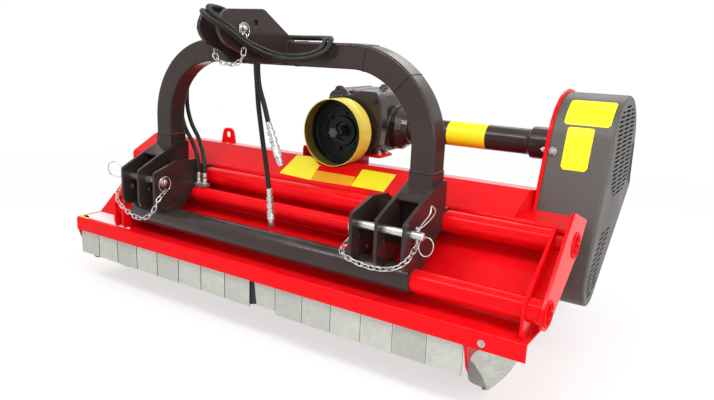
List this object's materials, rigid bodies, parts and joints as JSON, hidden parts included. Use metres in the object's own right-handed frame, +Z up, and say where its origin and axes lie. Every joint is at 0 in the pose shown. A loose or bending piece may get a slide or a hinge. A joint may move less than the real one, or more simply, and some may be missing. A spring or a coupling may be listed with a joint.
{
  "type": "flail mower",
  "caption": "Red rear flail mower with an arched side-shift hitch, gearbox with yellow shaft guard, belt casing, front flaps and rear roller.",
  "frame": {"origin": "middle of the box without the hoses, on the ground", "axes": "+X to the belt casing, +Y to the rear, away from the tractor, +Z up"},
  "size_m": [1.768, 1.1494, 1.0146],
  "materials": {
    "red_paint": "gloss",
    "dark_paint": "satin",
    "cover_paint": "satin",
    "gearbox": "painted satin",
    "guard": "semi-gloss",
    "cast": "rough",
    "belt": "matte",
    "galvanised": "dull galvanised",
    "zinc": "zinc plated",
    "steel": "satin",
    "hose": "satin"
  },
  "bodies": {
    "deck": {"deck_shell": "red_paint", "side_plate_left": "red_paint", "side_plate_right": "red_paint", "upper_guide_tube": "red_paint", "lower_guide_tube": "red_paint", "guide_end_right": "red_paint", "guide_end_left": "red_paint", "gearbox_mount": "red_paint", "gearbox_housing": "gearbox", "pto_guard": "guard", "drive_shaft_tube": "dark_paint", "belt_backplate": "red_paint", "belt_cover": "cover_paint", "rotor_bearing_left": "cast", "rotor_bearing_right": "cast", "drive_bearing": "cast", "drive_belt": "belt", "skid_left": "galvanised", "skid_right": "galvanised", "roller_arm_left": "red_paint", "roller_arm_right": "red_paint", "hood_rod": "zinc", "flap_rod": "zinc", "cylinder_rod": "zinc"},
    "hitch": {"hitch_arch": "dark_paint", "top_link_plate_left": "dark_paint", "top_link_plate_right": "dark_paint", "lower_bracket_left": "dark_paint", "lower_bracket_right": "dark_paint", "lower_sleeve": "dark_paint", "upper_sleeve_left": "dark_paint", "upper_sleeve_right": "dark_paint", "cylinder_barrel": "red_paint", "cylinder_port": "zinc", "lower_link_pin_left": "zinc", "lower_link_pin_right": "zinc", "top_link_pin": "zinc", "linch_pin_chain_left": "zinc", "linch_pin_chain_right": "zinc", "linch_pin_chain_top": "zinc", "hydraulic_hose_a": "hose", "hydraulic_hose_b": "hose", "hose_coupler_a": "zinc", "hose_coupler_b": "zinc"},
    "rotor": {"rotor_tube": "red_paint", "lower_pulley": "cast"},
    "hammers_1": {"hammer_row_1": "steel"},
    "hammers_2": {"hammer_row_2": "steel"},
    "hammers_3": {"hammer_row_3": "steel"},
    "hammers_4": {"hammer_row_4": "steel"},
    "drive": {"drive_shaft": "steel", "upper_pulley": "cast"},
    "input": {"pto_shaft": "steel"},
    "roller": {"rear_roller": "dark_paint"},
    "hood": {"rear_hood": "red_paint"},
    "flaps_left": {"front_flaps_left": "galvanised"},
    "flap_middle": {"front_flap_middle": "galvanised"},
    "flaps_right": {"front_flaps_right": "galvanised"}
  },
  "joints": [
    {"name": "hitch_slide", "type": "slide", "parent": "deck", "child": "hitch", "axis": [1, 0, 0], "range_m": [-0.025, 0.285]},
    {"name": "rotor_spin", "type": "hinge", "parent": "deck", "child": "rotor", "pos_m": [0.002, 0.00883, 0.275], "axis": [1, 0, 0], "continuous": true},
    {"name": "hammers_1_swing", "type": "hinge", "parent": "rotor", "child": "hammers_1", "pos_m": [0.002, 0.08449, 0.35066], "axis": [1, 0, 0], "range_deg": [0, 270]},
    {"name": "hammers_2_swing", "type": "hinge", "parent": "rotor", "child": "hammers_2", "pos_m": [0.002, -0.06683, 0.35066], "axis": [1, 0, 0], "range_deg": [-270, 0]},
    {"name": "hammers_3_swing", "type": "hinge", "parent": "rotor", "child": "hammers_3", "pos_m": [0.002, -0.06683, 0.19934], "axis": [1, 0, 0], "range_deg": [-180, 90]},
    {"name": "hammers_4_swing", "type": "hinge", "parent": "rotor", "child": "hammers_4", "pos_m": [0.002, 0.08449, 0.19934], "axis": [1, 0, 0], "range_deg": [-90, 180]},
    {"name": "drive_spin", "type": "hinge", "parent": "deck", "child": "drive", "pos_m": [0.002, 0.21383, 0.617], "axis": [1, 0, 0], "continuous": true},
    {"name": "input_spin", "type": "hinge", "parent": "deck", "child": "input", "pos_m": [0.041, 0.04383, 0.613], "axis": [0, 1, 0], "continuous": true},
    {"name": "roller_spin", "type": "hinge", "parent": "deck", "child": "roller", "pos_m": [0.002, 0.48383, 0.075], "axis": [1, 0, 0], "continuous": true},
    {"name": "hood_hinge", "type": "hinge", "parent": "deck", "child": "hood", "pos_m": [0.002, 0.37383, 0.335], "axis": [1, 0, 0], "range_deg": [0, 95]},
    {"name": "flaps_left_swing", "type": "hinge", "parent": "deck", "child": "flaps_left", "pos_m": [0.002, -0.41117, 0.222], "axis": [1, 0, 0], "range_deg": [0, 75]},
    {"name": "flap_middle_swing", "type": "hinge", "parent": "deck", "child": "flap_middle", "pos_m": [0.002, -0.41117, 0.222], "axis": [1, 0, 0], "range_deg": [0, 75]},
    {"name": "flaps_right_swing", "type": "hinge", "parent": "deck", "child": "flaps_right", "pos_m": [0.002, -0.41117, 0.222], "axis": [1, 0, 0], "range_deg": [0, 75]}
  ],
  "couplings": [
    {"joint": "drive_spin", "follows": "rotor_spin", "ratio": 0.476},
    {"joint": "input_spin", "follows": "rotor_spin", "ratio": 0.2467}
  ]
}
